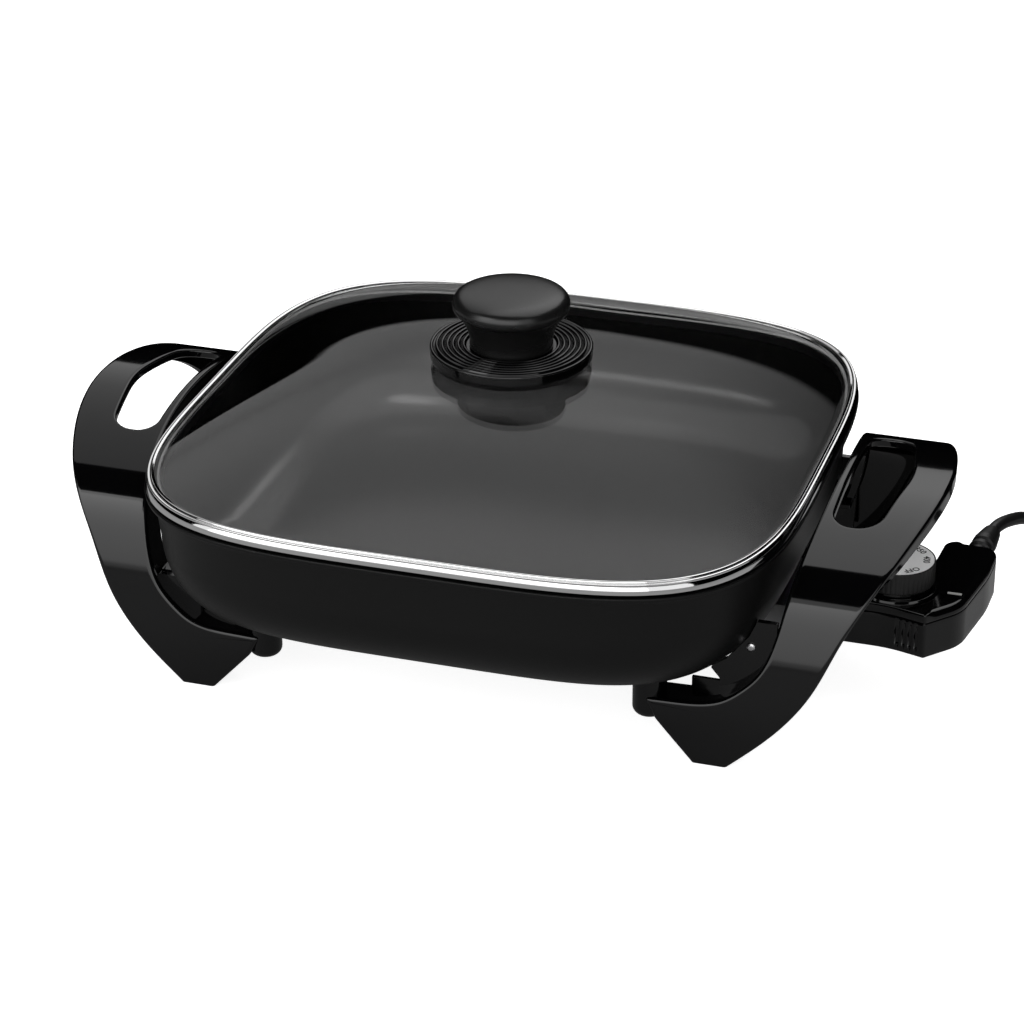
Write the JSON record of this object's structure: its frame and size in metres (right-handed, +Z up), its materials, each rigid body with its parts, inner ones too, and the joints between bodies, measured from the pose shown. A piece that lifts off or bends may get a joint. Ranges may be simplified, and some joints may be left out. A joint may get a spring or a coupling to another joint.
{
  "type": "electric skillet",
  "caption": "Square electric skillet with a domed glass lid, arched side handles that are also its legs, and a plug-in temperature control with a dial and a short lead.",
  "frame": {"origin": "on the table, at the centre of the footprint of everything but the free cord", "axes": "+X towards the plug-in control, +Y towards the back, where the cord leaves, +Z up"},
  "size_m": [0.5456, 0.3782, 0.1797],
  "materials": {
    "nonstick_coating": "satin black nonstick coating on cast aluminium",
    "cast_aluminium": "bare cast",
    "element_sheath": "dull oxidised sheath",
    "seal_ceramic": "matte",
    "plated_steel": "zinc plated",
    "bright_steel": "polished",
    "black_phenolic": "polished moulding",
    "satin_black": "satin moulding",
    "lid_glass": "clear tempered glass",
    "grey_silicone": "matte",
    "white_print": "printed",
    "silver_plate": "fine brushed, printed figures",
    "contact_copper": "bare",
    "soft_black": "satin",
    "cord_jacket": "satin",
    "brass_prongs": "bare"
  },
  "bodies": {
    "skillet": {"pan": "nonstick_coating", "heater_casting": "cast_aluminium", "heating_element": "element_sheath", "element_seals": "seal_ceramic", "terminal_pins": "plated_steel", "terminal_guard": "plated_steel", "guard_screws": "plated_steel", "handle_left": "black_phenolic", "handle_right": "black_phenolic", "post_screws": "plated_steel", "tab_screws": "bright_steel"},
    "lid": {"lid_glass": "lid_glass", "lid_band": "bright_steel", "knob_gasket": "grey_silicone", "knob_base": "black_phenolic", "knob_grip": "satin_black", "knob_washer": "plated_steel", "knob_screw": "plated_steel"},
    "control": {"control_base": "black_phenolic", "control_cover": "black_phenolic", "control_screws": "plated_steel", "dial_collar": "black_phenolic", "index_mark": "white_print", "thermostat_frame": "plated_steel", "contact_blades": "contact_copper", "terminal_clips": "contact_copper", "probe_tube": "bright_steel", "strain_relief": "soft_black", "cord_lead": "cord_jacket", "cord_coil": "cord_jacket", "cord_tie": "soft_black", "cord_tail": "cord_jacket", "plug_body": "soft_black", "plug_prongs": "brass_prongs"},
    "dial": {"dial": "satin_black", "dial_plate": "silver_plate", "dial_shaft": "plated_steel", "adjusting_cam": "seal_ceramic"}
  },
  "joints": [
    {"name": "lid_lift", "type": "slide", "parent": "skillet", "child": "lid", "axis": [0, 0, 1], "range_m": [0, 0.12]},
    {"name": "control_pull", "type": "slide", "parent": "skillet", "child": "control", "axis": [1, 0, 0], "range_m": [0, 0.12]},
    {"name": "dial_turn", "type": "hinge", "parent": "control", "child": "dial", "pos_m": [0.18335, 0, 0.05], "axis": [0, 0, 1], "range_deg": [-290, 0]}
  ]
}
